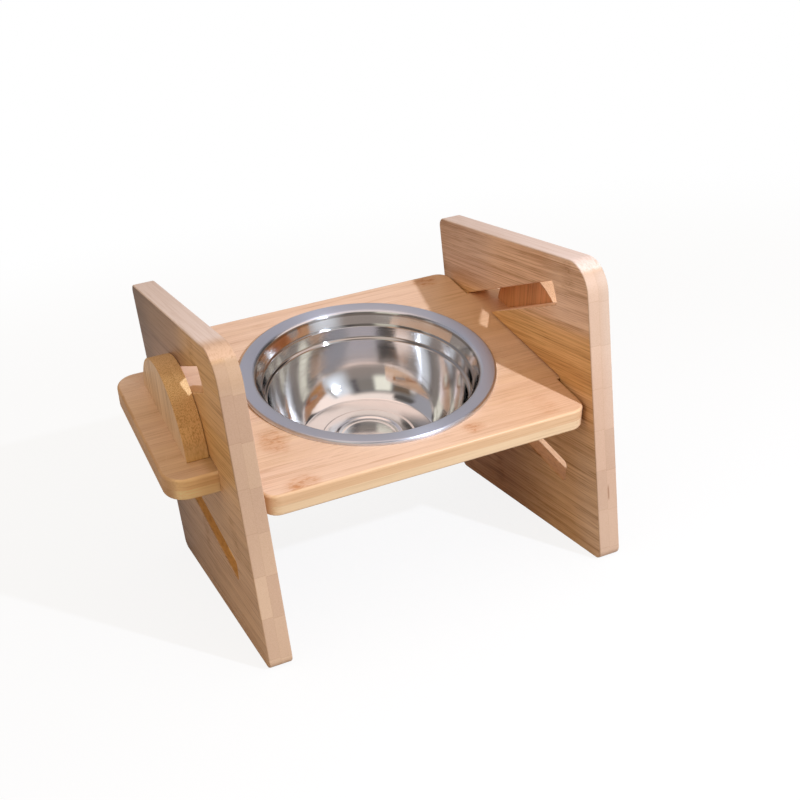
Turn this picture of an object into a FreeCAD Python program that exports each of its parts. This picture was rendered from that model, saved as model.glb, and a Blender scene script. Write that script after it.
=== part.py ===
import FreeCAD, Part
import os
import Sketcher

# Driving sizes in millimetres, the tilt in degrees
SIZES = [
    ("panel_height", 160),
    ("panel_depth", 160),
    ("panel_thickness", 12),
    ("panel_gap", 174),
    ("panel_front_radius", 16),
    ("panel_corner_radius", 5),
    ("upper_slot_height", 127.2),
    ("lower_slot_height", 53.5),
    ("slot_clearance", 0.2),
    ("board_height", 107.4),
    ("board_tilt", 15),
    ("board_depth", 160),
    ("board_thickness", 12),
    ("board_corner_radius", 8),
    ("board_edge_radius", 2),
    ("shoulder_clearance", 0.1),
    ("tab_width", 101),
    ("tab_reach", 25),
    ("tab_corner_radius", 11),
    ("key_length", 76),
    ("key_height", 31.5),
    ("key_thickness", 11),
    ("key_end_radius", 2),
    ("key_clearance", 0.3),
    ("tenon_length", 40),
    ("tenon_thickness", 7),
    ("tenon_shortfall", 0.5),
    ("tenon_clearance", 0.3),
    ("rim_radius", 68),
    ("rim_height", 2.2),
    ("rim_edge_radius", 1.2),
    ("lip_radius", 1.6),
    ("mouth_radius", 59.5),
    ("bowl_wall", 0.8),
    ("hole_clearance", 1.2),
    ("band_radius", 55),
    ("band_taper", 0.6),
    ("band_top_depth", 6),
    ("band_low_depth", 12.6),
    ("step_width", 1.4),
    ("step_depth", 0.8),
    ("belly_radius", 42),
    ("floor_radius", 37),
    ("floor_depth", 43.4),
    ("disc_radius", 17),
    ("disc_rise", 1),
]

# Two places closer than this share of the board's thickness are one place
SAME_PLACE_SHARE = 0.0001
FULL_TURN = 360
# The corners of a rectangle, counter-clockwise
CORNER_SIGNS = (("-1", "-1"), ("1", "-1"), ("1", "1"), ("-1", "1"))
TILT_AXIS = FreeCAD.Vector(1, 0, 0)
UP = FreeCAD.Vector(0, 0, 1)

doc = FreeCAD.newDocument("elevated_dog_bowl")


def make_sheet():
    sheet = doc.addObject("Spreadsheet::Sheet", "Sizes")
    for row, (alias, number) in enumerate(SIZES, start=1):
        sheet.set("A%d" % row, alias.replace("_", " "))
        sheet.set("B%d" % row, str(number))
        sheet.setAlias("B%d" % row, alias)
    doc.recompute()
    return sheet


sheet = make_sheet()


def bound(formula):
    # A formula of size names, each tied to its cell in the sheet
    words = formula.split(" ")
    names = [alias for alias, number in SIZES]
    return " ".join("Sizes." + word if word in names else word for word in words)


def measure(formula):
    return float(sheet.evalExpression(bound(formula)))


def new_body(label):
    body = doc.addObject("PartDesign::Body", label)
    body.Label = label
    return body


def place_across(body, x):
    body.setExpression("Placement.Base.x", bound(x))


def place_on_board(body, x):
    # The frame of the board's top face: Y up its slope, Z square to it
    tilted = FreeCAD.Rotation(TILT_AXIS, measure("board_tilt"))
    body.Placement = FreeCAD.Placement(FreeCAD.Vector(), tilted)
    body.setExpression("Placement.Rotation.Angle", bound("board_tilt"))
    body.setExpression("Placement.Base.z", bound("board_height"))
    place_across(body, x)


def new_sketch(body, name, role):
    sketch = body.newObject("Sketcher::SketchObject", name)
    plane = [one for one in body.Origin.OriginFeatures if one.Role == role][0]
    sketch.AttachmentSupport = [(plane, "")]
    sketch.MapMode = "FlatFace"
    return sketch


def fix_point(sketch, edge, end, point):
    # Both coordinates of one corner follow their formulas
    for kind, formula in zip(("DistanceX", "DistanceY"), point):
        number = sketch.addConstraint(Sketcher.Constraint(kind, -1, 1, edge, end, measure(formula)))
        sketch.setExpression("Constraints[%d]" % number, bound(formula))


def outline(sketch, corners, arcs=None):
    # A closed line through the corners; arcs maps a corner's place in the
    # list to the radius of the arc that leaves it for the next corner
    arcs = arcs or {}
    first = sketch.GeometryCount
    spots = [FreeCAD.Vector(measure(x), measure(y), 0) for x, y in corners]
    count = len(spots)
    for step, start in enumerate(spots):
        finish = spots[(step + 1) % count]
        if step in arcs:
            sketch.addGeometry(curve_between(start, finish, arcs[step]))
        else:
            sketch.addGeometry(Part.LineSegment(start, finish))
    for step in range(count):
        edge = first + step
        after = first + (step + 1) % count
        leave, arrive = ends_of(arcs.get(step))
        next_leave = ends_of(arcs.get((step + 1) % count))[0]
        sketch.addConstraint(Sketcher.Constraint("Coincident", edge, arrive, after, next_leave))
        fix_point(sketch, edge, leave, corners[step])
        if step in arcs:
            radius = arcs[step].lstrip("-")
            number = sketch.addConstraint(Sketcher.Constraint("Radius", edge, measure(radius)))
            sketch.setExpression("Constraints[%d]" % number, bound(radius))


def ends_of(radius):
    # An arc always runs counter-clockwise, so one that turns clockwise
    # along the outline leaves from its second end
    if radius and radius.startswith("-"):
        return 2, 1
    return 1, 2


def curve_between(start, finish, radius):
    size = measure(radius.lstrip("-"))
    turn = -1 if radius.startswith("-") else 1
    chord = finish - start
    middle = (start + finish) * 0.5
    away = (size ** 2 - (chord.Length / 2) ** 2) ** 0.5
    side = FreeCAD.Vector(-chord.y, chord.x, 0).normalize()
    centre = middle + side * (away * turn)
    low, high = (start, finish) if turn > 0 else (finish, start)
    circle = Part.Circle(centre, UP, size)
    return Part.ArcOfCircle(circle, circle.parameter(low), circle.parameter(high))


def pad(body, sketch, length, reversed_way=False):
    feature = body.newObject("PartDesign::Pad", sketch.Name + "_pad")
    feature.Profile = sketch
    feature.setExpression("Length", bound(length))
    feature.Reversed = reversed_way
    doc.recompute()
    return feature


def cut_through(body, sketch, reversed_way=False):
    before = body.Shape.Volume
    feature = body.newObject("PartDesign::Pocket", sketch.Name + "_cut")
    feature.Profile = sketch
    feature.Type = "ThroughAll"
    feature.Reversed = reversed_way
    doc.recompute()
    if body.Shape.Volume >= before:
        raise RuntimeError("%s removes nothing" % feature.Label)
    return feature


def round_edges(body, name, radius, chosen):
    # Rounds the edges of the body that the test chooses
    base = body.Tip
    names = ["Edge%d" % number for number, edge in enumerate(base.Shape.Edges, start=1) if chosen(edge)]
    if not names:
        raise RuntimeError("%s finds no edge" % name)
    feature = body.newObject("PartDesign::Fillet", name)
    feature.Base = (base, names)
    feature.setExpression("Radius", bound(radius))
    doc.recompute()
    return feature


def near(a, b):
    return abs(a - b) < measure("board_thickness") * SAME_PLACE_SHARE


def runs_along(edge, axis):
    # True for a straight edge along the axis 0, 1 or 2
    start, finish = edge.firstVertex().Point, edge.lastVertex().Point
    if not isinstance(edge.Curve, Part.Line):
        return False
    return all(near(start[one], finish[one]) for one in range(3) if one != axis)


def slot_outline(sketch, middle, slope):
    # A rounded slot that fits a tab about its middle, falling forward for slope 1, back for -1
    reach = "( tab_width / 2 + slot_clearance )"
    rise = "( board_thickness / 2 + slot_clearance )"
    corner = "( board_edge_radius + slot_clearance )"
    ends = []
    for along, across in CORNER_SIGNS:
        beside = ("%s * %s" % (along, reach), "%s * ( %s - %s )" % (across, rise, corner))
        below = ("%s * ( %s - %s )" % (along, reach, corner), "%s * %s" % (across, rise))
        ends += [beside, below] if along == across else [below, beside]
    corners = []
    for run, lift in ends:
        y = "%s + %s * cos( board_tilt ) - %s * %s * sin( board_tilt )" % (middle[0], run, slope, lift)
        z = "%s + %s * %s * sin( board_tilt ) + %s * cos( board_tilt )" % (middle[1], slope, run, lift)
        corners.append((spaced(y), spaced(z)))
    outline(sketch, corners, {first: spaced(corner) for first in range(0, len(corners), 2)})


def spaced(formula):
    # Brackets stand apart, so that each size name is a word of its own
    return formula.replace("(", "( ").replace(")", " )").replace("  ", " ")


def is_corner(edge, y, z):
    # True for the panel's edge that runs across its thickness at this corner
    middle = edge.CenterOfMass
    return runs_along(edge, 0) and near(middle.y, measure(y)) and near(middle.z, measure(z))


def side_panel(label, x):
    body = new_body(label)
    face = new_sketch(body, label + "_outline", "YZ_Plane")
    outline(face, [
        ("- panel_depth / 2", "0"),
        ("panel_depth / 2", "0"),
        ("panel_depth / 2", "panel_height"),
        ("- panel_depth / 2", "panel_height"),
    ])
    pad(body, face, "panel_thickness")
    front, back = "- panel_depth / 2", "panel_depth / 2"
    places = (
        ("front_top", "panel_front_radius", front, "panel_height"),
        ("back_top", "panel_corner_radius", back, "panel_height"),
        ("front_bottom", "panel_corner_radius", front, "0"),
        ("back_bottom", "panel_corner_radius", back, "0"),
    )
    for name, radius, y, z in places:
        round_edges(body, "%s_%s_corner" % (label, name), radius, lambda edge: is_corner(edge, y, z))
    middle_of_tab = (
        "board_thickness / 2 * sin( board_tilt )",
        "board_height - board_thickness / 2 * cos( board_tilt )",
    )
    slots = (
        ("upper", ("0", "upper_slot_height"), "-1"),
        ("middle", middle_of_tab, "1"),
        ("lower", ("0", "lower_slot_height"), "1"),
    )
    for name, middle, slope in slots:
        sketch = new_sketch(body, "%s_%s_slot" % (label, name), "YZ_Plane")
        slot_outline(sketch, middle, slope)
        cut_through(body, sketch, reversed_way=True)
    place_across(body, x)
    return body


def tray_board(label):
    body = new_body(label)
    face = new_sketch(body, label + "_outline", "XY_Plane")
    shoulder = "( panel_gap / 2 - shoulder_clearance )"
    tip = "( panel_gap / 2 + panel_thickness + tab_reach )"
    quarter = [
        (tip, "tab_width / 2"),
        (shoulder, "tab_width / 2"),
        (shoulder, "board_depth / 2"),
    ]
    corners = [(x, "- " + y) for x, y in reversed(quarter)]
    corners += quarter
    corners += [("- " + x, y) for x, y in reversed(quarter)]
    corners += [("- " + x, "- " + y) for x, y in quarter]
    outline(face, [(spaced(x), spaced(y)) for x, y in corners])
    pad(body, face, "board_thickness", reversed_way=True)
    end_of_tab = measure(spaced(tip))
    side_of_board = measure("board_depth / 2")
    round_edges(body, label + "_corners", "board_corner_radius",
                lambda edge: runs_along(edge, 2) and near(abs(edge.CenterOfMass.y), side_of_board))
    round_edges(body, label + "_tab_corners", "tab_corner_radius",
                lambda edge: runs_along(edge, 2) and near(abs(edge.CenterOfMass.x), end_of_tab))
    round_edges(body, label + "_edges", "board_edge_radius",
                lambda edge: near(edge.BoundBox.ZLength, 0) and not on_shoulder(edge))
    hole = new_sketch(body, label + "_hole", "XY_Plane")
    circle(hole, "mouth_radius + bowl_wall + hole_clearance")
    cut_through(body, hole)
    mortise(body, label + "_left_mortise", "-1")
    mortise(body, label + "_right_mortise", "1")
    place_on_board(body, "0")
    return body


def on_shoulder(edge):
    shoulder = measure("panel_gap / 2 - shoulder_clearance")
    return runs_along(edge, 1) and near(abs(edge.CenterOfMass.x), shoulder)


def circle(sketch, radius):
    size = measure(radius)
    edge = sketch.addGeometry(Part.Circle(FreeCAD.Vector(), UP, size))
    sketch.addConstraint(Sketcher.Constraint("Coincident", edge, 3, -1, 1))
    number = sketch.addConstraint(Sketcher.Constraint("Radius", edge, size))
    sketch.setExpression("Constraints[%d]" % number, bound(radius))


def rectangle(middle, half_width, half_length):
    # Centred on the X axis at middle, its length along Y
    corners = []
    for across, along in CORNER_SIGNS:
        x = "%s + %s * ( %s )" % (middle, across, half_width)
        corners.append((spaced(x), spaced("%s * ( %s )" % (along, half_length))))
    return corners


def key_inner_face():
    return "panel_gap / 2 + panel_thickness + key_clearance"


def mortise(body, name, side):
    sketch = new_sketch(body, name, "XY_Plane")
    middle = "%s * ( %s + key_thickness / 2 )" % (side, key_inner_face())
    half_width = "tenon_thickness / 2 + tenon_clearance"
    half_length = "tenon_length / 2 + tenon_clearance"
    outline(sketch, rectangle(middle, half_width, half_length))
    cut_through(body, sketch)


def lock_key(label, x):
    # The half-moon stands on the tab, and its tenon goes down into the mortise
    body = new_body(label)
    moon = new_sketch(body, label + "_half_moon", "YZ_Plane")
    arc = "( key_length * key_length / 4 + key_height * key_height ) / ( 2 * key_height )"
    corners = [("- key_length / 2", "0"), ("key_length / 2", "0"), ("0", "key_height")]
    outline(moon, corners, {1: arc, 2: arc})
    pad(body, moon, "key_thickness")
    half = measure("key_length / 2")
    round_edges(body, label + "_ends", "key_end_radius",
                lambda edge: runs_along(edge, 0) and near(abs(edge.CenterOfMass.y), half))
    foot = new_sketch(body, label + "_tenon", "XY_Plane")
    outline(foot, rectangle("key_thickness / 2", "tenon_thickness / 2", "tenon_length / 2"))
    pad(body, foot, "board_thickness - tenon_shortfall", reversed_way=True)
    place_on_board(body, x)
    return body


def is_ring(edge, radius, height):
    # True for a circle about the bowl's axis
    if not isinstance(edge.Curve, Part.Circle):
        return False
    return near(edge.Curve.Radius, measure(radius)) and near(edge.Curve.Center.z, measure(height))


def steel_bowl(label):
    body = new_body(label)
    section = new_sketch(body, label + "_section", "XZ_Plane")
    inside_line = [
        ("0", "- floor_depth + disc_rise"),
        ("disc_radius - disc_rise", "- floor_depth + disc_rise"),
        ("disc_radius", "- floor_depth"),
        ("floor_radius", "- floor_depth"),
        ("band_radius - step_width", "- band_low_depth - step_depth"),
        ("band_radius", "- band_low_depth"),
        ("band_radius + band_taper", "- band_top_depth"),
        ("mouth_radius", "rim_height"),
        ("rim_radius", "rim_height"),
    ]
    outside_line = [
        ("rim_radius", "0"),
        ("rim_radius - bowl_wall", "0"),
        ("rim_radius - bowl_wall", "rim_height - bowl_wall"),
        ("mouth_radius + bowl_wall", "rim_height - bowl_wall"),
        ("band_radius + band_taper + bowl_wall", "- band_top_depth"),
        ("band_radius + bowl_wall", "- band_low_depth - bowl_wall"),
        ("band_radius - step_width + bowl_wall", "- band_low_depth - step_depth - bowl_wall"),
        ("floor_radius", "- floor_depth - bowl_wall"),
        ("disc_radius", "- floor_depth - bowl_wall"),
        ("disc_radius - disc_rise", "- floor_depth + disc_rise - bowl_wall"),
        ("0", "- floor_depth + disc_rise - bowl_wall"),
    ]
    belly_start = inside_line.index(("floor_radius", "- floor_depth"))
    belly_return = outside_line.index(("floor_radius", "- floor_depth - bowl_wall")) - 1
    belly = {belly_start: "belly_radius", len(inside_line) + belly_return: "-belly_radius"}
    outline(section, inside_line + outside_line, belly)
    turn = body.newObject("PartDesign::Revolution", label + "_turned")
    turn.Profile = section
    turn.ReferenceAxis = (section, ["V_Axis"])
    turn.Angle = FULL_TURN
    doc.recompute()
    under_rim = "rim_height - bowl_wall"
    bends = (
        ("lip", "lip_radius", "mouth_radius", "rim_height"),
        ("lip_underside", "lip_radius - bowl_wall", "mouth_radius + bowl_wall", under_rim),
        ("rim_edge", "rim_edge_radius", "rim_radius", "rim_height"),
    )
    for name, bend, radius, height in bends:
        round_edges(body, "%s_%s" % (label, name), bend, lambda edge: is_ring(edge, radius, height))
    place_on_board(body, "0")
    return body


pieces = [
    side_panel("left_side_panel", "- panel_gap / 2 - panel_thickness"),
    side_panel("right_side_panel", "panel_gap / 2"),
    tray_board("tray_board"),
    lock_key("left_lock_key", "- ( %s ) - key_thickness" % key_inner_face()),
    lock_key("right_lock_key", key_inner_face()),
    steel_bowl("steel_bowl"),
]
doc.recompute()

for one in doc.Objects:
    if "Invalid" in one.State or "Error" in one.State:
        raise RuntimeError("%s failed: %s" % (one.Label, one.State))
for piece in pieces:
    if piece.Shape.isNull() or not piece.Shape.isValid():
        raise RuntimeError("%s has no valid shape" % piece.Label)

os.makedirs("parts", exist_ok=True)
for piece in pieces:
    piece.Shape.exportStep("parts/%s.step" % piece.Label)
    box = piece.Shape.optimalBoundingBox()
    print("%-18s volume %9.1f  x %7.2f %7.2f  y %7.2f %7.2f  z %7.2f %7.2f" % (
        piece.Label, piece.Shape.Volume, box.XMin, box.XMax, box.YMin, box.YMax, box.ZMin, box.ZMax))
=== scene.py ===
import bpy
import bmesh
from math import cos, degrees, pi, radians, sin
from mathutils import Matrix, Vector
from mathutils.geometry import interpolate_bezier


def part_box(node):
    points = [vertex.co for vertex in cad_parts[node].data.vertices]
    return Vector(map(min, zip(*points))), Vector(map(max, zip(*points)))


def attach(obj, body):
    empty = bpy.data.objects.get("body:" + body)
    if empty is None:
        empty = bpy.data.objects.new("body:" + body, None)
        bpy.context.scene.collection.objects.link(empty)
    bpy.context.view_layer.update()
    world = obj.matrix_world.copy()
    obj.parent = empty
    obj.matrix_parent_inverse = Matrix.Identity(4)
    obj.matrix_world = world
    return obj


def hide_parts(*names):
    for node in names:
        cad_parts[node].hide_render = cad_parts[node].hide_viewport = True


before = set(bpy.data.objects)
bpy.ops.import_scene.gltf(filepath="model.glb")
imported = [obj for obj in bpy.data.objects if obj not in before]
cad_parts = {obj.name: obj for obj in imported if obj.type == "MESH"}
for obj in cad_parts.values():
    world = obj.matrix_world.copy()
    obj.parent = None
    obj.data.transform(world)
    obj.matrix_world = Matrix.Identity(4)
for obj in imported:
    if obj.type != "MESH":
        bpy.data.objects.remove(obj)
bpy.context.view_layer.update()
mm = 0.001
print("frame loaded:", sorted(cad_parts))

boardTilt = radians(15)  # the board falls towards the front
boardTop = 107.4 * mm  # its top face above the floor, at the middle
tilted = Matrix.Translation((0, 0, boardTop)) @ Matrix.Rotation(boardTilt, 4, "X")
close = 1 * mm  # an edge this near to a place counts as lying there
weldGap = 0.002 * mm  # points nearer than this become one
sharpAngle = radians(35)  # edges that turn by more than this are eased


def frameBox(node):
    # lowest and highest corner of a node of the frame, to a hundredth of a millimetre
    return [[round(place, 5) for place in corner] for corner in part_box(node)]


class Wire:
    # a shader socket that can be used in sums
    def __init__(self, tree, socket=None):
        self.tree = tree
        self.socket = socket

    def node(self, kind, settings=None, sockets=None, out=0):
        made = self.tree.nodes.new(kind)
        for key, value in (settings or {}).items():
            setattr(made, key, value)
        for key, value in (sockets or {}).items():
            if isinstance(value, Wire):
                self.tree.links.new(value.socket, made.inputs[key])
            else:
                made.inputs[key].default_value = value
        return Wire(self.tree, made.outputs[out])

    def math(self, operation, *values):
        return self.node("ShaderNodeMath", {"operation": operation}, dict(enumerate(values)))

    def __add__(self, other):
        return self.math("ADD", self, other)

    __radd__ = __add__

    def __mul__(self, other):
        return self.math("MULTIPLY", self, other)

    __rmul__ = __mul__

    def __sub__(self, other):
        return self.math("SUBTRACT", self, other)

    def __rsub__(self, other):
        return self.math("SUBTRACT", other, self)

    def __truediv__(self, other):
        return self.math("DIVIDE", self, other)

    def __pow__(self, other):
        return self.math("POWER", self, other)

    def __abs__(self):
        return self.math("ABSOLUTE", self)

    def floor(self):
        return self.math("FLOOR", self)

    def positive(self):
        return self.math("MAXIMUM", self, 0.0)

    def step(self, start, finish):
        # 0 at start, 1 at finish, smooth between
        return self.node("ShaderNodeMapRange", {"interpolation_type": "SMOOTHSTEP"},
                         {"Value": self, "From Min": start, "From Max": finish})

    def vector(self, x, y, z):
        return self.node("ShaderNodeCombineXYZ", None, {0: x, 1: y, 2: z})

    def split(self):
        return [self.node("ShaderNodeSeparateXYZ", None, {0: self}, out) for out in range(3)]

    def noise(self, x, y, z, detail=3.0, roughness=0.55):
        return self.node("ShaderNodeTexNoise", {"noise_dimensions": "3D"}, {
            "Vector": self.vector(x, y, z), "Scale": 1.0, "Detail": detail, "Roughness": roughness})

    def mix(self, share, first, second, blend="MIX"):
        # the node's sockets 6 and 7 are the colours, and its output 2 is their mix
        settings = {"data_type": "RGBA", "blend_type": blend}
        first, second = [(*one, 1) if isinstance(one, tuple) else one for one in (first, second)]
        return self.node("ShaderNodeMix", settings, {0: share, 6: first, 7: second}, 2)

    # multiplies a tint over a colour: the wood's own streaks and stains, and also painted light and shade
    def stainAndShade(self, colour, share, tint):
        return self.mix(share, colour, tint, "MULTIPLY")


def reachOf(first, second):
    return (first ** 2 + second ** 2) ** 0.5


def newMaterial(name, constants):
    material = bpy.data.materials.new(name)
    material.use_nodes = True
    surface = material.node_tree.nodes["Principled BSDF"]
    for key, value in constants.items():
        surface.inputs[key].default_value = value
    return material, Wire(material.node_tree), surface


def feed(shader, wires):
    for key, wire in wires.items():
        wire.tree.links.new(wire.socket, shader.inputs[key])


def placed(wire, turn=None):
    # object coordinates, turned into a piece's own directions
    spot = wire.node("ShaderNodeTexCoord", out="Object")
    if turn:
        spot = wire.node("ShaderNodeMapping", {"vector_type": "POINT"},
                         {"Vector": spot, "Location": turn["move"], "Rotation": turn["turn"]})
    return dict(zip("xyz", spot.split()))


# undoes the board's tilt, so Y runs up its slope and Z stands square to it from its top face
onBoard = {
    "turn": (-boardTilt, 0, 0),
    "move": (0, -boardTop * sin(boardTilt), -boardTop * cos(boardTilt)),
}

# laminated bamboo, as all the wooden pieces have it
grain = {
    # waves per metre along, across and through a plank, then the detail and roughness of the noise
    "noise": {
        "broad": (6, 150, 150, 2.0, 0.55),
        "fibre": (14, 1000, 1000, 4.0, 0.62),
        "dash": (34, 1500, 1500, 2.0, 0.55),
        "fleck": (70, 1900, 1900, 2.0, 0.55),
        "speck": (160, 420, 420, 3.0, 0.70),
        "pores": (40, 1900, 1900, 2.0, 0.55),
        "cells": (40, 260, 700, 3.0, 0.55),
    },
    # where each begins to show and where it shows in full; dashes lie in the broad streaks
    "levels": {
        "broad": (0.38, 0.72), "dashBroad": (0.25, 0.60), "fibre": (0.42, 0.68), "dash": (0.52, 0.66),
        "fleck": (0.60, 0.74), "speck": (0.45, 0.62), "pores": (0.42, 0.66),
        "node": (8 * mm, 1 * mm), "mark": (1.0, 0.25),
        "glue": (0.486, 0.5), "endGlue": (0.486, 0.499), "gluePit": (0.488, 0.5), "plyLine": (0.465, 0.5),
    },
    "stripShift": 3.0,  # how far, in metres, the pattern of a strip can be moved along it
    # how the nodes wander: waves per metre across, through and along, and how far
    "wander": (110, 110, 2), "nodeWander": 6 * mm,
    # how strongly some of them colour the wood
    "roseShare": 0.6, "sideFibre": 0.25, "sideDash": 0.2, "cellShare": 0.20, "plyLineShare": 0.15,
    "cutFibre": 0.35,
    "rough": 0.40, "fibreRough": 0.14, "nodeRough": 0.08, "endRough": 0.12, "lacquerRough": 0.24,
    "bumpDepth": 0.2 * mm, "fibreRise": 0.7, "dashPit": 0.4, "fleckPit": 0.4, "nodeRise": 0.8, "gluePit": 0.6,
}


def plankGrain(wire, spot, look):
    # glued strips in plies, long fibres, dark dashes and a few nodes
    levels = grain["levels"]
    along, across, through = [spot[axis] for axis in look["axes"]]
    layer = (through + look["plyShift"]) / look["ply"]
    ply = layer.floor()
    lane = (across + look["rowShift"] + ply * look["plySlip"]) / look["strip"]
    row = lane.floor()
    seam = abs(lane - row - 0.5)  # 0 along the middle of a strip, 0.5 at its sides
    chance = wire.node("ShaderNodeTexWhiteNoise", {"noise_dimensions": "3D"},
                       {"Vector": wire.vector(row + look["seed"], ply, 0.5)}, "Color")
    tone, slip, warm = chance.split()
    run = along + slip * grain["stripShift"]

    def noise(kind, start):
        length, width, depth, detail, roughness = grain["noise"][kind]
        return wire.noise(start * length, across * width, through * depth, detail, roughness)

    broad, fibre = noise("broad", run), noise("fibre", run)
    dash = noise("dash", run).step(*levels["dash"]) * broad.step(*levels["dashBroad"])
    wide, deep, far = grain["wander"]
    wander = wire.noise(across * wide, through * deep, run * far) * grain["nodeWander"]
    phase = (run + wander) / look["nodePitch"]
    offNode = abs(phase - phase.floor() - 0.5) * look["nodePitch"]
    node = offNode.step(*levels["node"]) * look["nodeDepth"]
    for x, y, width, height in look.get("marks", []):
        away = reachOf((along - x * mm + wander) / (width * mm), (across - y * mm) / (height * mm))
        node = wire.math("MAXIMUM", node, away.step(*levels["mark"]))
    return {
        "ply": ply, "plyLine": abs(layer - ply - 0.5).step(*levels["plyLine"]), "seam": seam,
        "tone": tone, "slip": slip, "warm": warm,
        "broad": broad.step(*levels["broad"]), "fibre": fibre, "streak": fibre.step(*levels["fibre"]),
        "dash": dash, "fleck": noise("fleck", run).step(*levels["fleck"]),
        "node": node, "speck": noise("speck", run).step(*levels["speck"]),
        "pores": noise("pores", along).step(*levels["pores"]), "cells": noise("cells", along),
    }


def faceWood(wire, plank, look):
    colour = wire.mix(plank["tone"], look["pale"], look["honey"])
    colour = wire.mix(plank["warm"] * grain["roseShare"], colour, look["rose"])
    for kind in ("broad", "streak", "dash", "fleck"):
        colour = wire.stainAndShade(colour, plank[kind] * look[kind], look["streakTint"])
    soft = look["nodeSoft"]
    colour = wire.stainAndShade(colour, plank["node"] * (soft + plank["speck"] * (1 - soft)), look["nodeTint"])
    glue = plank["seam"].step(*grain["levels"]["glue"]) * look["glue"]
    return wire.stainAndShade(colour, glue, look["streakTint"])


def planedWood(wire, plank, look):
    colour = wire.mix(plank["ply"] - look["topPly"], look["sideLow"], look["sideTop"])
    share = plank["streak"] * grain["sideFibre"] + plank["dash"] * grain["sideDash"]
    return wire.stainAndShade(colour, share, look["streakTint"])


def endWood(wire, plank, look):
    colour = wire.mix(plank["slip"], look["endPale"], look["endDark"])
    pores = plank["pores"] * look["pore"] + plank["cells"] * grain["cellShare"]
    colour = wire.stainAndShade(colour, pores, look["poreTint"])
    glue = plank["seam"].step(*grain["levels"]["endGlue"]) * look["endGlue"]
    colour = wire.stainAndShade(colour, glue, look["streakTint"])
    return wire.stainAndShade(colour, plank["plyLine"] * grain["plyLineShare"], look["streakTint"])


def faded(wire, spot, colour, fades):
    # slow changes of colour over a plank, many of them painted light and shade: where along the axes each
    # begins and is full, in mm, and its tint
    for places, tint in fades:
        share = 1.0
        for axis, start, finish in places:
            share = spot[axis].step(start * mm, finish * mm) * share
        colour = wire.stainAndShade(colour, share, tint)
    return colour


def bamboo(name, look, edges, turn=None):
    material, wire, surface = newMaterial(name, {
        "Specular IOR Level": look["gloss"], "Coat Weight": look["lacquer"],
        "Coat Roughness": grain["lacquerRough"]})
    spot = placed(wire, turn)
    plank = plankGrain(wire, spot, look)
    ends, sides, cuts = edges(wire, spot, look)
    colour = faded(wire, spot, faceWood(wire, plank, look), look.get("fades", []))
    planed = faded(wire, spot, planedWood(wire, plank, look), look.get("sideFades", []))
    endGrain = faded(wire, spot, endWood(wire, plank, look), look.get("endFades", []))
    sawn = wire.stainAndShade(look["cut"], plank["streak"] * grain["cutFibre"], look["streakTint"])
    for share, wood in ((sides, planed), (ends, endGrain), (cuts, sawn)):
        colour = wire.mix(share, colour, wood)
    fibre, node = plank["fibre"], plank["node"]
    rough = grain["rough"] + fibre * grain["fibreRough"] + node * grain["nodeRough"]
    rough = rough + ends * grain["endRough"]
    height = fibre * grain["fibreRise"] - plank["dash"] * grain["dashPit"]
    height = height - plank["fleck"] * grain["fleckPit"] + node * grain["nodeRise"]
    height = height - plank["seam"].step(*grain["levels"]["gluePit"]) * grain["gluePit"]
    bump = wire.node("ShaderNodeBump", None, {
        "Strength": look["bump"], "Distance": grain["bumpDepth"], "Height": height})
    feed(surface, {"Base Color": colour, "Roughness": rough, "Normal": bump})
    return material


def newPiece(bm, name):
    bmesh.ops.remove_doubles(bm, verts=bm.verts, dist=weldGap)
    bmesh.ops.recalc_face_normals(bm, faces=bm.faces)
    for face in bm.faces:
        face.smooth = True
    mesh = bpy.data.meshes.new(name)
    bm.to_mesh(mesh)
    bm.free()
    piece = bpy.data.objects.new(name, mesh)
    bpy.context.scene.collection.objects.link(piece)
    return piece


def carve(piece, tool, operation="DIFFERENCE"):
    # cuts the tool out of the piece, or joins it on, and takes the tool away
    cut = piece.modifiers.new("carve", "BOOLEAN")
    cut.operation = operation
    cut.solver = "EXACT"
    cut.object = tool
    bpy.context.view_layer.update()
    ready = piece.evaluated_get(bpy.context.evaluated_depsgraph_get())
    piece.data = bpy.data.meshes.new_from_object(ready)
    piece.modifiers.clear()
    bpy.data.objects.remove(tool)


def ease(piece, width, segments=3, limit="ANGLE"):
    # sanded edges
    piece.data.set_sharp_from_angle(angle=sharpAngle)
    soft = piece.modifiers.new("eased edges", "BEVEL")
    soft.width = width
    soft.segments = segments
    soft.limit_method = limit
    soft.angle_limit = sharpAngle
    soft.profile = 0.5
    soft.harden_normals = True
    soft.use_clamp_overlap = True


def block(size, centre=(0, 0, 0)):
    bm = bmesh.new()
    bmesh.ops.create_cube(bm, size=1)
    bmesh.ops.scale(bm, vec=size, verts=bm.verts)
    bmesh.ops.translate(bm, vec=centre, verts=bm.verts)
    return bm


def thicken(bm, faces, way):
    # draws flat faces out into a solid
    drawn = bmesh.ops.extrude_face_region(bm, geom=faces)["geom"]
    verts = [part for part in drawn if isinstance(part, bmesh.types.BMVert)]
    bmesh.ops.translate(bm, vec=way, verts=verts)


def spinAbout(bm, angle, axis):
    bmesh.ops.rotate(bm, cent=(0, 0, 0), matrix=Matrix.Rotation(angle, 3, axis), verts=bm.verts)


def crosswise(first, second):
    return abs(first.x - second.x) > close


def upright(first, second):
    return abs(first.z - second.z) > close


def roundEdges(bm, radius, segments, chosen):
    edges = [edge for edge in bm.edges if chosen(*[vert.co for vert in edge.verts])]
    bmesh.ops.bevel(bm, geom=edges, offset=radius, offset_type="OFFSET", affect="EDGES",
                    segments=segments, profile=0.5, material=-1)


def dress(piece, node, body, material):
    piece.data.materials.clear()
    piece.data.materials.append(material)
    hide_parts(node)
    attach(piece, body)


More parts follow.
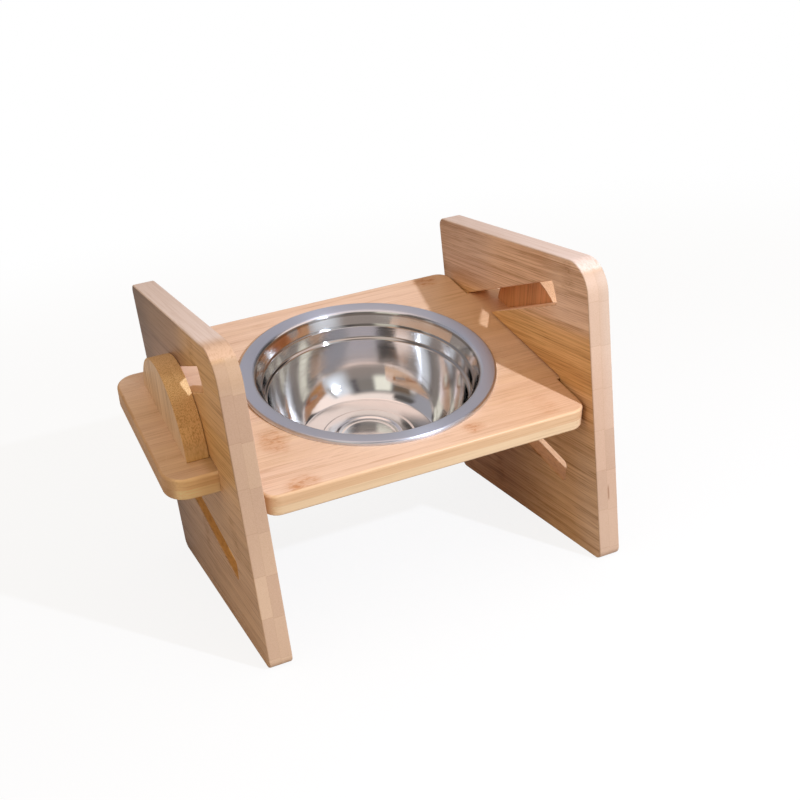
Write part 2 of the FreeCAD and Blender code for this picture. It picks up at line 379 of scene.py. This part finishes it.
# side panels, as large as the frame's
panelLow, panelHigh = frameBox("right_side_panel")
panelLook = {
    "thickness": panelHigh[0] - panelLow[0], "depth": panelHigh[1] - panelLow[1],
    "height": panelHigh[2] - panelLow[2], "gap": 2 * panelLow[0],
    "frontRadius": 16 * mm, "frontSegments": 14, "cornerRadius": 5 * mm, "cornerSegments": 6,
    "easing": 0.7 * mm,
    "slotLength": 101.4 * mm, "slotWidth": 12.4 * mm, "slotCorner": 2.2 * mm, "slotSegments": 4,
    "upperSlot": 127.2 * mm, "lowerSlot": 53.5 * mm, "boardThickness": 12 * mm, "tabSlack": 0.6 * mm,
    "axes": "yzx", "strip": 22.4 * mm, "rowShift": 5 * mm, "ply": 6 * mm, "plyShift": 3 * mm,
    "plySlip": 0.7 * mm, "topPly": -1, "endGlue": 0.20, "pore": 0.30,
    "nodePitch": 310 * mm, "nodeDepth": 0.5, "nodeSoft": 0.15, "nodeTint": (0.54, 0.40, 0.25),
    "gloss": 0.3, "lacquer": 0.05,
    "poreTint": (0.80, 0.75, 0.68), "glue": 0.12, "bump": 0.25,
    # how deep the wood of the edges reaches, and where it is full; how far a round corner turns from
    # planed wood to end grain; how deep in from the faces sawn wood begins, and where it is full
    "skin": (0.8 * mm, 0.3 * mm), "endTurn": (0.62, 0.80), "sawn": (0.2 * mm, 0.8 * mm),
}
# the two panels come from different planks
outerFace = ("x", -91, -95)
leftPlank = {
    "seed": 3.0, "pale": (0.78, 0.53, 0.33), "honey": (0.71, 0.46, 0.25), "rose": (0.72, 0.48, 0.34),
    "endPale": (0.75, 0.54, 0.38), "endDark": (0.65, 0.45, 0.32), "cut": (0.74, 0.42, 0.14),
    "sideLow": (0.84, 0.67, 0.58), "sideTop": (0.79, 0.63, 0.55),
    "streakTint": (0.54, 0.41, 0.28), "broad": 0.32, "streak": 0.50, "dash": 0.65, "fleck": 0.35,
    "fades": [
        # painted shade on the outer face: darker towards the back, and at the top behind the front
        ([("y", -55, 85), outerFace], (0.52, 0.48, 0.50)),
        ([("y", 35, 82), outerFace], (0.70, 0.66, 0.66)),
        ([("z", 118, 142), ("y", -45, -5), outerFace], (0.76, 0.72, 0.72)),
        # painted warm light on the outer face, towards its front and above its middle
        ([("z", 60, 115), ("y", 0, -40), outerFace], (1.16, 1.09, 0.80)),
        # the inner face paler than the outer: painted light
        ([("x", -95, -91)], (1.19, 1.32, 1.52)),
    ],
    "sideFades": [([("y", -52, -66)], (0.86, 0.71, 0.55))],
    "endFades": [
        ([("z", 20, 110)], (0.80, 0.77, 0.75)),
        ([("z", 138, 150)], (0.94, 0.90, 0.83)),
    ],
}
innerFace = ("x", 95, 91)
rightPlank = {
    "seed": 41.0, "pale": (0.93, 0.63, 0.385), "honey": (0.89, 0.57, 0.30), "rose": (0.89, 0.58, 0.39),
    "endPale": (0.67, 0.475, 0.35), "endDark": (0.60, 0.42, 0.305), "cut": (0.92, 0.60, 0.36),
    "sideLow": (0.90, 0.725, 0.635), "sideTop": (0.87, 0.695, 0.61),
    "streakTint": (0.54, 0.38, 0.22), "broad": 0.46, "streak": 0.62, "dash": 0.58, "fleck": 0.38,
    "fades": [
        ([("z", 128, 120), ("z", 86, 98), innerFace], (0.97, 0.90, 0.62)),
        ([("z", 124, 134), innerFace], (1.02, 1.02, 1.08)),
        ([("z", 120, 134), ("y", 0, 40), innerFace], (0.82, 0.86, 0.98)),
        ([("z", 120, 130), ("y", -35, -55), innerFace], (1.06, 1.16, 1.28)),
        # painted light: the inner face lighter low down, and paler still at its low front
        ([("z", 78, 60), innerFace], (1.07, 1.06, 1.0)),
        ([("z", 78, 50), ("y", -50, -72), innerFace], (1.0, 1.10, 1.35)),
        # painted shade low on the inner face, under the board and towards the back
        ([("z", 72, 35), ("y", -45, 25), ("x", 94, 88)], (0.52, 0.42, 0.40)),
    ],
    "endFades": [
        # painted highlight on the front edge, paler towards its outer side and upwards
        ([("x", 92, 98), ("z", 30, 120)], (1.04, 1.11, 1.18)),
        ([("z", 20, 50), ("z", 125, 95)], (0.96, 0.93, 0.92)),
        ([("x", 93.0, 93.5), ("x", 94.4, 93.9), ("z", 33, 36), ("z", 44, 40)], (0.66, 0.56, 0.50)),
    ],
}


def panelEdges(wire, spot, look):
    # end grain at the front and back, planed wood along the top and bottom, sawn wood in the slots
    x, y, z = spot.values()
    half, rise, thick = look["depth"] / 2, look["height"] / 2, look["thickness"] / 2
    front = wire.math("LESS_THAN", y, 0.0) * wire.math("GREATER_THAN", z, rise)
    radius = look["cornerRadius"] + front * (look["frontRadius"] - look["cornerRadius"])
    out = (abs(y) - half + radius).positive()
    up = (abs(z - rise) - rise + radius).positive()
    start, full = look["skin"]
    skin = (reachOf(out, up) - radius).step(-start, -full)
    facing = (out / radius).step(*look["endTurn"])
    start, full = look["sawn"]
    within = abs(abs(x) - look["gap"] / 2 - thick).step(thick - start, thick - full)
    return skin * facing, skin * (1 - facing), within * (1 - skin)


def slotTool(look, height, slant, y=0.0, slack=0.0):
    # one slanted slot that a tab fits, longer than the panel is thick, with slack above the tab
    size = (look["thickness"] * 3, look["slotLength"], look["slotWidth"] + slack)
    bm = block(size, (0, 0, slack / 2))
    roundEdges(bm, look["slotCorner"], look["slotSegments"], crosswise)
    spinAbout(bm, slant, "X")
    bmesh.ops.translate(bm, vec=(0, y, height), verts=bm.verts)
    return newPiece(bm, "slot")


def sidePanel(name, side, look):
    high, deep = look["height"] - close, look["depth"] / 2 - close

    def frontTop(first, second):
        return crosswise(first, second) and first.z > high and first.y < -deep

    def corner(first, second):
        return crosswise(first, second) and abs(first.y) > deep and (first.z < close or first.z > high)

    bm = block((look["thickness"], look["depth"], look["height"]), (0, 0, look["height"] / 2))
    roundEdges(bm, look["frontRadius"], look["frontSegments"], frontTop)
    roundEdges(bm, look["cornerRadius"], look["cornerSegments"], corner)
    piece = newPiece(bm, name)
    half = look["boardThickness"] / 2
    middle = boardTop - half * cos(boardTilt)
    carve(piece, slotTool(look, look["upperSlot"], -boardTilt))
    carve(piece, slotTool(look, middle, boardTilt, half * sin(boardTilt), look["tabSlack"]))
    carve(piece, slotTool(look, look["lowerSlot"], boardTilt))
    piece.data.transform(Matrix.Translation((side * (look["gap"] + look["thickness"]) / 2, 0, 0)))
    ease(piece, look["easing"])
    return piece


for name, node, side, plank in (("leftPanel", "left_side_panel", -1, leftPlank),
                                ("rightPanel", "right_side_panel", 1, rightPlank)):
    panelBamboo = bamboo(name + "Bamboo", {**panelLook, **plank}, panelEdges)
    dress(sidePanel(name, side, panelLook), node, "stand", panelBamboo)
print("side panels built")

# tray board with its two tabs
leftTab = ("x", -97, -101)
boardLook = {
    "halfWidth": 86.2 * mm, "depth": 160 * mm, "thickness": 12 * mm,
    "cornerRadius": 8 * mm, "cornerSegments": 8,
    "tabWidth": 101 * mm, "tabEnd": frameBox("tray_board")[1][0], "tabRadius": 11 * mm, "tabSegments": 10,
    "holeRadius": 61.5 * mm, "holeSegments": 144,
    "edgeRadius": 2 * mm, "edgeSegments": 5, "shoulderEasing": 0.8 * mm, "holeEasing": 0.7 * mm,
    "mortise": (7.6 * mm, 40.6 * mm), "mortisePlace": 104.8 * mm,
    "axes": "xyz", "strip": 22.4 * mm, "rowShift": 6 * mm, "ply": 6 * mm, "plyShift": 12 * mm,
    "plySlip": 7 * mm, "topPly": 0, "endGlue": 0.25, "pore": 0.30, "seed": 17.0,
    "nodePitch": 420 * mm, "nodeDepth": 0.35, "nodeSoft": 0.35, "nodeTint": (0.72, 0.49, 0.31),
    "gloss": 0.35, "lacquer": 0.1,
    # node marks: place along and across the board, then half sizes, in mm
    "marks": [(-64, -39, 10, 14), (-63, -77, 12, 10), (29, -70, 8, 6), (73, 74, 10, 10)],
    "pale": (0.845, 0.585, 0.405), "honey": (0.81, 0.55, 0.365), "rose": (0.835, 0.57, 0.42),
    "endPale": (0.70, 0.44, 0.245), "endDark": (0.60, 0.36, 0.19), "cut": (0.66, 0.44, 0.28),
    "sideLow": (0.87, 0.65, 0.415), "sideTop": (0.79, 0.525, 0.31),
    "streakTint": (0.60, 0.46, 0.30), "poreTint": (0.78, 0.70, 0.60),
    "broad": 0.22, "streak": 0.27, "dash": 0.36, "fleck": 0.24, "glue": 0.10, "bump": 0.22,
    "skin": (1.6 * mm, 0.6 * mm), "endTurn": (0.45, 0.95), "sawn": (0.8 * mm, 1.4 * mm),
    "fades": [
        ([leftTab], (0.95, 0.97, 0.95)),
        # painted light: the tab paler towards its back
        ([leftTab, ("y", 5, 45)], (1.21, 1.28, 1.44)),
        # painted shade where the tab goes into the left panel
        ([("x", -106, -100), ("x", -98, -99)], (0.76, 0.70, 0.54)),
        # painted shade: darker and warmer towards the front right, where the lamp falls strongest
        ([("x", -20, 60), ("y", -20, -50)], (0.93, 0.86, 0.77)),
        ([("y", 10, 60), ("x", 75, 30)], (1.01, 1.03, 1.08)),
        # painted shade: warmer at the back right, in the right panel's shadow
        ([("x", 55, 80), ("y", -20, 20)], (1.0, 0.96, 0.86)),
    ],
    "sideFades": [
        # painted light on the tab's front face, stronger at its outer end
        ([leftTab], (1.12, 1.14, 1.10)),
        ([("x", -104, -113)], (1.17, 1.23, 1.28)),
    ],
}


def outlineEdges(spot, look, width, depth, radius, reached=1.0):
    # the rim of a board with round corners, and how much of it is end grain
    out = (abs(spot["x"]) - (width - radius)).positive() * reached
    deep = (abs(spot["y"]) - (depth - radius)).positive()
    start, full = look["skin"]
    edge = (reachOf(out, deep) - radius).step(-start, -full)
    return edge, edge * (out / radius).step(*look["endTurn"])


def boardEdges(wire, spot, look):
    # end grain at the ends and round the corners, planed wood along the front and back, sawn holes
    x, y, z = spot.values()
    tab, thick = look["tabWidth"] / 2, look["thickness"] / 2
    besideTab = wire.math("GREATER_THAN", abs(y), tab)
    onTab = wire.math("GREATER_THAN", abs(x), look["halfWidth"])
    body = outlineEdges(spot, look, look["halfWidth"], look["depth"] / 2, look["cornerRadius"], besideTab)
    tabs = outlineEdges(spot, look, look["tabEnd"], tab, look["tabRadius"])
    edge, ends = [first * (1 - onTab) + second * onTab for first, second in zip(body, tabs)]
    start, full = look["sawn"]
    within = abs(z + thick).step(thick - start, thick - full)
    return ends, edge - ends, within * (1 - edge)


def boardBlank(name, look):
    shoulder, half, tab, tip = look["halfWidth"], look["depth"] / 2, look["tabWidth"] / 2, look["tabEnd"]
    quarter = [(shoulder, half), (shoulder, tab), (tip, tab)]
    outline = quarter + [(x, -y) for x, y in reversed(quarter)]
    outline += [(-x, -y) for x, y in quarter] + [(-x, y) for x, y in reversed(quarter)]

    def bodyCorner(first, second):
        return upright(first, second) and abs(first.y) > half - close

    def tabCorner(first, second):
        return upright(first, second) and abs(first.x) > tip - close

    bm = bmesh.new()
    face = bm.faces.new([bm.verts.new((x, y, 0)) for x, y in outline])
    thicken(bm, [face], (0, 0, -look["thickness"]))
    roundEdges(bm, look["cornerRadius"], look["cornerSegments"], bodyCorner)
    roundEdges(bm, look["tabRadius"], look["tabSegments"], tabCorner)
    return newPiece(bm, name)


def easingOf(first, second, look):
    # how round an edge of the board is sanded: least in the hole, not at all in the mortises
    middle = (first + second) / 2
    shoulder = look["halfWidth"] + close
    square = abs(first.x - second.x) < 0.1 * close  # square to the board's length
    if middle.xy.length < look["holeRadius"] + close:
        return look["holeEasing"]
    if square and max(abs(first.x), abs(second.x)) < shoulder:
        return look["shoulderEasing"]
    if abs(middle.y) > look["mortise"][1] / 2 + close or abs(middle.x) > look["tabEnd"] - close:
        return look["edgeRadius"]
    return 0.0


def trayBoard(name, look):
    piece = boardBlank(name, look)
    through = look["thickness"] * 3
    bm = bmesh.new()
    bmesh.ops.create_cone(bm, cap_ends=True, segments=look["holeSegments"], radius1=look["holeRadius"],
                          radius2=look["holeRadius"], depth=through)
    carve(piece, newPiece(bm, "hole"))
    for side in (-1, 1):
        bm = block((*look["mortise"], through), (side * look["mortisePlace"], 0, 0))
        carve(piece, newPiece(bm, "mortise"))
    bm = bmesh.new()
    bm.from_mesh(piece.data)
    weight = bm.edges.layers.float.new("bevel_weight_edge")
    for edge in bm.edges:
        ends = [vert.co for vert in edge.verts]
        if len(edge.link_faces) == 2 and edge.calc_face_angle() > sharpAngle and not upright(*ends):
            edge[weight] = easingOf(*ends, look) / look["edgeRadius"]
    bm.to_mesh(piece.data)
    bm.free()
    piece.data.transform(tilted)
    ease(piece, look["edgeRadius"], look["edgeSegments"], "WEIGHT")
    return piece


boardBamboo = bamboo("boardBamboo", boardLook, boardEdges, onBoard)
dress(trayBoard("trayBoard", boardLook), "tray_board", "stand", boardBamboo)
print("tray board built")

# half-moon keys, as thick as the frame's and where they stand
keyLow, keyHigh = frameBox("right_lock_key")
keyLook = {
    "length": 76 * mm, "height": 31.5 * mm, "thickness": keyHigh[0] - keyLow[0], "innerFace": keyLow[0],
    "endRadius": 2 * mm, "endSegments": 5, "easing": 0.7 * mm, "turns": 128,
    "tenon": (7 * mm, 40 * mm, 11.5 * mm), "tenonRoot": 1 * mm,
    "axes": "zyx", "strip": 26 * mm, "rowShift": 9 * mm, "ply": 5.5 * mm, "plyShift": 0.0,
    "plySlip": 8 * mm, "topPly": 0, "endGlue": 0.12, "pore": 0.60,
    "nodePitch": 400 * mm, "nodeDepth": 0.4, "nodeSoft": 0.15, "nodeTint": (0.52, 0.42, 0.28),
    "gloss": 0.3, "lacquer": 0.05,
    "endPale": (0.88, 0.58, 0.30), "endDark": (0.80, 0.51, 0.25),
    "sideLow": (0.96, 0.67, 0.33), "sideTop": (0.92, 0.64, 0.31), "cut": (0.80, 0.55, 0.34),
    "streakTint": (0.52, 0.42, 0.28), "poreTint": (0.56, 0.46, 0.32),
    "broad": 0.28, "streak": 0.40, "dash": 0.50, "fleck": 0.30, "glue": 0.10, "bump": 0.25,
    "skin": (1.2 * mm, 0.4 * mm), "endTurn": (0.1, 0.5), "sawn": (0.1 * mm, 0.5 * mm),
}
keyLook["arc"] = (keyLook["length"] ** 2 / 4 + keyLook["height"] ** 2) / (2 * keyLook["height"])
# the keys come from different blanks, and the right key's darker, redder colours are painted shade
# painted shade at the front foot of the key, next to the tab
keyFootShade = ([("y", -34, -38)], (0.80, 0.77, 0.66))
leftBlank = {
    "seed": 73.0, "pale": (0.94, 0.71, 0.49), "honey": (0.90, 0.66, 0.44), "rose": (0.90, 0.67, 0.47),
    "sideFades": [keyFootShade],
    # painted light on the arc, a band a little in front of its top
    "endFades": [([("y", -4, -11), ("y", -24, -17)], (1.17, 1.25, 1.32)), keyFootShade],
}
# painted shade: the right key's darker, redder colours
shadedRightBlank = {
    "seed": 91.0, "pale": (0.84, 0.45, 0.22), "honey": (0.80, 0.41, 0.17), "rose": (0.80, 0.40, 0.19),
    "endPale": (0.80, 0.50, 0.30), "endDark": (0.74, 0.45, 0.26),
    "sideLow": (0.80, 0.50, 0.30), "sideTop": (0.76, 0.46, 0.27),
}


def keyEdges(wire, spot, look):
    # the arc shows end grain, most at its top; the tenon is sawn
    down = spot["z"] + (look["arc"] - look["height"])
    start, full = look["skin"]
    arc = (reachOf(spot["y"], down) - look["arc"]).step(-start, -full)
    facing = (down / look["arc"]).step(*look["endTurn"])
    start, full = look["sawn"]
    return arc * facing, arc * (1 - facing), spot["z"].step(-start, -full)


def lockKey(name, side, look):
    def footCorner(first, second):
        return crosswise(first, second) and abs(first.y) > look["length"] / 2 - 0.05 * close

    bm = bmesh.new()
    bmesh.ops.create_circle(bm, cap_ends=True, segments=look["turns"], radius=look["arc"])
    spinAbout(bm, pi / 2, "Z")
    spinAbout(bm, pi / 2, "Y")
    bmesh.ops.translate(bm, vec=(0, 0, look["height"] - look["arc"]), verts=bm.verts)
    bmesh.ops.bisect_plane(bm, geom=bm.verts[:] + bm.edges[:] + bm.faces[:], plane_co=(0, 0, 0),
                           plane_no=(0, 0, 1), clear_inner=True)
    thicken(bm, bm.faces[:], (look["thickness"], 0, 0))
    roundEdges(bm, look["endRadius"], look["endSegments"], footCorner)
    piece = newPiece(bm, name)
    wide, long, deep = look["tenon"]
    root = look["tenonRoot"]
    tenon = block((wide, long, deep + root), (look["thickness"] / 2, 0, (root - deep) / 2))
    carve(piece, newPiece(tenon, "tenon"), "UNION")
    start = look["innerFace"] if side > 0 else -look["innerFace"] - look["thickness"]
    piece.data.transform(tilted @ Matrix.Translation((start, 0, 0)))
    ease(piece, look["easing"])
    return piece


for name, node, body, side, blank in (("leftKey", "left_lock_key", "left_key", -1, leftBlank),
                                      ("rightKey", "right_lock_key", "right_key", 1, shadedRightBlank)):
    keyBamboo = bamboo(name + "Bamboo", {**keyLook, **blank}, keyEdges, onBoard)
    dress(lockKey(name, side, keyLook), node, body, keyBamboo)
print("lock keys built")

# pressed steel bowl, turned about the board's normal
bowlLook = {
    "wall": 0.8 * mm, "turns": 160, "weldGap": 0.005 * mm, "sharpAngle": radians(40),
    # radius, height above the board's top face and rounding in mm, and the segments of the rounding
    "floor": [
        (0.0, -42.5, 0, 0),
        (14.5, -42.5, 1.2, 4),
        (15.6, -43.2, 0.4, 3),
        (17.4, -43.2, 0.5, 3),
        (18.6, -42.6, 0.8, 4),
        (25.2, -42.8, 0.6, 3),
        (26.2, -43.4, 0.5, 3),
        (37.0, -43.4, 0.5, 3),
    ],
    # the wall's curve from the floor up to the step: two places it leans to, and its segments
    "belly": [(48.64, -36.21), (52.58, -19.17), 26],
    "mouth": [
        (53.6, -13.4, 0.5, 3),
        (55.0, -12.6, 0.4, 3),
        (55.6, -6.0, 0.5, 3),
        (56.4, -5.2, 0.5, 3),
        (59.6, 1.65, 1.5, 7),
        (68.0, 2.4, 1.3, 7),
        (68.0, 0.0, 0, 0),
    ],
    # the pressed rings and the lip are painted darker, painted shade over their bright reflections: height
    # and half width of each, in mm
    "rings": [(-12.9, 1.1), (-5.5, 0.9), (0.1, 1.0)], "ringShade": (0.58, 0.56, 0.54),
    # the rim's flat: where it begins, outwards and upwards
    "rimStart": (59.2 * mm, 60.2 * mm), "rimRise": (-1.0 * mm, 0.8 * mm),
    # the steel's colour; the rim's darker, bluish colour is a painted reflection of the room
    "steel": (0.84, 0.825, 0.82), "rimReflection": (0.65, 0.685, 0.765),
    "wallRough": 0.05, "rimRough": 0.28, "brushed": 0.85, "brushTurn": 0.25,
    "smearWaves": 60, "smearLevels": (0.35, 0.75), "smearShare": 0.12, "smearRough": 0.03,
    "smearTint": (0.62, 0.61, 0.62),
    "grooves": 14000, "grooveTurns": 0.4, "grooveLevels": (0.50, 0.72),
    "grooveDepth": 0.02 * mm, "grooveStrength": 0.12,
}


def steelBowl(name, look):
    bm = bmesh.new()
    low, high, count = look["belly"]
    ends = [look["floor"][-1][:2], low, high, look["mouth"][0][:2]]
    curve = interpolate_bezier(*[Vector((radius, 0, height)) for radius, height in ends], count + 1)
    wall = [(point.x, point.z, 0, 0) for point in curve[1:-1]]
    section = look["floor"] + wall + look["mouth"]
    line = [bm.verts.new((radius * mm, 0, height * mm)) for radius, height, rounding, segments in section]
    for first, second in zip(line, line[1:]):
        bm.edges.new((first, second))
    for vert, (radius, height, rounding, segments) in zip(line, section):
        if rounding:
            bmesh.ops.bevel(bm, geom=[vert], offset=rounding * mm, offset_type="OFFSET", affect="VERTICES",
                            segments=segments, profile=0.5, material=-1)
    bmesh.ops.spin(bm, geom=bm.verts[:] + bm.edges[:], cent=(0, 0, 0), axis=(0, 0, 1), angle=2 * pi,
                   steps=look["turns"], use_merge=True)
    bmesh.ops.remove_doubles(bm, verts=bm.verts, dist=look["weldGap"])
    bmesh.ops.recalc_face_normals(bm, faces=bm.faces)
    # the faces look up, into the hollow, and the wall is added behind them
    if min(bm.faces, key=lambda one: one.calc_center_median().xy.length).normal.z < 0:
        bmesh.ops.reverse_faces(bm, faces=bm.faces)
    bmesh.ops.solidify(bm, geom=bm.faces[:], thickness=look["wall"])
    piece = newPiece(bm, name)
    piece.data.transform(tilted)
    piece.data.set_sharp_from_angle(angle=look["sharpAngle"])
    return piece


def steel(name, look):
    # fine grooves turned all round, that draw a highlight out up and down the wall
    material, wire, surface = newMaterial(name, {
        "Metallic": 1.0, "Anisotropic": look["brushed"], "Anisotropic Rotation": look["brushTurn"]})
    x, y, z = placed(wire, onBoard).values()
    reach = reachOf(x, y)
    onRim = reach.step(*look["rimStart"]) * z.step(*look["rimRise"])
    angle = wire.math("ARCTAN2", y, x) * look["grooveTurns"]
    groove = wire.noise(reach * look["grooves"], angle, z * look["grooves"], 1.0).step(*look["grooveLevels"])
    smear = wire.noise(*[one * look["smearWaves"] for one in (x, y, z)])
    share = smear.step(*look["smearLevels"]) * look["smearShare"]
    colour = wire.mix(share, look["steel"], look["smearTint"])
    # painted shade over the reflections of the rings and the lip
    for height, half in look["rings"]:
        ring = abs(z - height * mm).step(half * mm, half * mm / 3)  # full over the middle third
        colour = wire.stainAndShade(colour, ring, look["ringShade"])
    # the rim's darker, bluish colour is a painted reflection of the room
    colour = wire.mix(onRim, colour, look["rimReflection"])
    rough = look["wallRough"] + smear * look["smearRough"] + onRim * (look["rimRough"] - look["wallRough"])
    bump = wire.node("ShaderNodeBump", None, {
        "Strength": look["grooveStrength"], "Distance": look["grooveDepth"], "Height": groove})
    feed(surface, {"Base Color": colour, "Roughness": rough, "Normal": bump})
    return material


bowl = steelBowl("steelBowl", bowlLook)
dress(bowl, "steel_bowl", "bowl", steel("polishedSteel", bowlLook))
print("steel bowl built")

# floor, light and camera
white = (1.0, 1.0, 1.0)
stageLook = {
    "floor": 0.97, "floorBounce": (0.31, 0.245, 0.17), "floorWhite": 0.86, "floorSize": 12.0,
    "floorFade": (0.35, 1.1),
    "lampPlace": (0.369, -0.795, 0.556), "lampAim": (0.0, 0.0, 0.09), "lampPower": 9.5, "lampSize": 0.025,
    "lampColour": (0.73, 0.82, 1.0),
    # soft light on the object from each side, less of it from close to the floor
    "fill": {"left": (1.03, 0.855, 0.71), "right": (0.46, 0.41, 0.39), "front": (1.12, 0.86, 0.43),
             "back": (0.16, 0.10, 0.18), "above": (0.66, 0.60, 0.52)},
    "fillLow": 0.30, "fillClear": 0.45,
    # what the polished steel mirrors: the room low down and overhead, then its bright and dark panels
    "horizon": (0.32, 0.27, 0.245), "middle": (0.25, 0.235, 0.225), "ceiling": (1.15, 0.92, 0.82),
    # degrees up at which the middle and the ceiling begin and are full, and the floor below them
    "middleRise": (4, 35), "ceilingRise": (64, 78), "floorRise": (1, -1),
    # direction and size of each panel in degrees, its soft edge and its colour
    "panels": [
        (65, 40, 130, 28, 8, (0.54, 0.49, 0.49)),
        (62, 56, 110, 24, 8, (0.51, 0.48, 0.52)),
        (150, 46, 60, 40, 8, (0.36, 0.355, 0.39)),
        (-95, 63, 120, 24, 6, (1.04, 0.89, 0.81)),
        (-45, 48, 70, 40, 6, (1.12, 0.94, 0.86)),
        (-168, 55, 40, 12, 4, (0.10, 0.09, 0.085)),
        (-158, 38, 28, 12, 4, (0.17, 0.12, 0.085)),
        (-174, 28, 10, 20, 3, (0.65, 0.60, 0.57)),
        (-129, 31, 23, 28, 4, (0.95, 0.93, 0.81)),
        (-106, 32, 20, 20, 4, (0.25, 0.225, 0.205)),
        (-92, 32, 8, 28, 3, (0.14, 0.125, 0.13)),
        (-69, 25, 28, 40, 9, (0.80, 0.85, 0.92)),
        (-59, 33, 4, 26, 2, (0.34, 0.32, 0.30)),
        (12, 36, 46, 34, 6, (0.09, 0.08, 0.075)),
    ],
    "sensor": 36, "lens": 52.391, "shift": (0.01875, 0.10), "nearest": 0.01,
    "eye": (-0.20449, -0.54755, 0.30515), "turn": (65.6629, 6.77044, -23.69757),  # metres, degrees
}


def seenBy(wire, *rays):
    # 1 for these kinds of ray, 0 for the others
    share = 0.0
    for ray in rays:
        share = wire.math("MAXIMUM", share, wire.node("ShaderNodeLightPath", out=ray))
    return share


def layFloor(look):
    # white to the eye, pale in the steel, and it keeps the shadow near the object
    bm = bmesh.new()
    bmesh.ops.create_grid(bm, x_segments=1, y_segments=1, size=look["floorSize"] / 2)
    floor = newPiece(bm, "floor")
    material, wire = newMaterial("paleFloor", {})[:2]
    spot = placed(wire)
    far = reachOf(spot["x"], spot["y"]).step(*look["floorFade"])
    seen = seenBy(wire, "Is Camera Ray", "Is Glossy Ray", "Is Transmission Ray")
    tone = wire.mix(seen, look["floorBounce"], (look["floor"],) * 3)
    matt = wire.node("ShaderNodeBsdfDiffuse", None, {"Color": tone})
    glow = wire.node("ShaderNodeEmission", None, {"Color": (*white, 1), "Strength": 1.0})
    share = seenBy(wire, "Is Camera Ray") * (look["floorWhite"] + far * (1 - look["floorWhite"]))
    both = wire.node("ShaderNodeMixShader", None, {0: share, 1: matt, 2: glow})
    feed(material.node_tree.nodes["Material Output"], {"Surface": both})
    floor.data.materials.append(material)


def softFill(wire, x, y, z, look):
    fill = (0.0, 0.0, 0.0)
    clear = look["fillLow"] + z.step(0.0, look["fillClear"]) * (1 - look["fillLow"])
    for side, towards in {"right": x, "left": x * -1, "back": y, "front": y * -1, "above": z}.items():
        fill = wire.mix(towards.positive() ** 2 * clear, fill, look["fill"][side], "ADD")
    return fill


def studioRoom(wire, x, y, z, look):
    turn = wire.math("ARCTAN2", y, x) * degrees(1)
    rise = wire.math("ARCSINE", z) * degrees(1)
    room = wire.mix(rise.step(*look["middleRise"]), look["horizon"], look["middle"])
    room = wire.mix(rise.step(*look["ceilingRise"]), room, look["ceiling"])
    for azimuth, height, width, tall, soft, colour in look["panels"]:
        aside = abs(wire.math("WRAP", turn - azimuth, 180.0, -180.0))
        inside = aside.step(width / 2 + soft, width / 2 - soft)
        inside = inside * abs(rise - height).step(tall / 2 + soft, tall / 2 - soft)
        room = wire.mix(inside, room, colour)
    return wire.mix(rise.step(*look["floorRise"]), room, white)


def lightWorld(look):
    # white to the eye, a studio room to the steel, soft light to everything else
    world = bpy.data.worlds.new("studio")
    bpy.context.scene.world = world
    world.use_nodes = True
    wire = Wire(world.node_tree)
    way = wire.node("ShaderNodeTexCoord", out="Generated").split()
    fill, room = softFill(wire, *way, look), studioRoom(wire, *way, look)
    seen = wire.mix(seenBy(wire, "Is Glossy Ray", "Is Transmission Ray"), fill, room)
    seen = wire.mix(seenBy(wire, "Is Camera Ray"), seen, white)
    background = world.node_tree.nodes["Background"]
    background.inputs["Strength"].default_value = 1.0
    feed(background, {"Color": seen})


def hangLamp(look):
    # one small bright lamp at the front right, that casts the right panel's shadow over the board
    data = bpy.data.lights.new("lamp", "AREA")
    data.shape = "DISK"
    data.size = look["lampSize"]
    data.energy = look["lampPower"]
    data.color = look["lampColour"]
    lamp = bpy.data.objects.new("lamp", data)
    lamp.location = look["lampPlace"]
    away = Vector(look["lampPlace"]) - Vector(look["lampAim"])
    lamp.rotation_euler = away.to_track_quat("Z", "Y").to_euler()
    bpy.context.scene.collection.objects.link(lamp)


def setCamera(look):
    data = bpy.data.cameras.new("camera")
    data.sensor_width = look["sensor"]
    data.lens = look["lens"]
    data.shift_x, data.shift_y = look["shift"]
    data.clip_start = look["nearest"]
    camera = bpy.data.objects.new("camera", data)
    camera.location = look["eye"]
    camera.rotation_euler = [radians(angle) for angle in look["turn"]]
    bpy.context.scene.collection.objects.link(camera)
    bpy.context.scene.camera = camera


layFloor(stageLook)
lightWorld(stageLook)
hangLamp(stageLook)
setCamera(stageLook)
bpy.context.scene.view_settings.view_transform = "Standard"
print("floor, light and camera set")
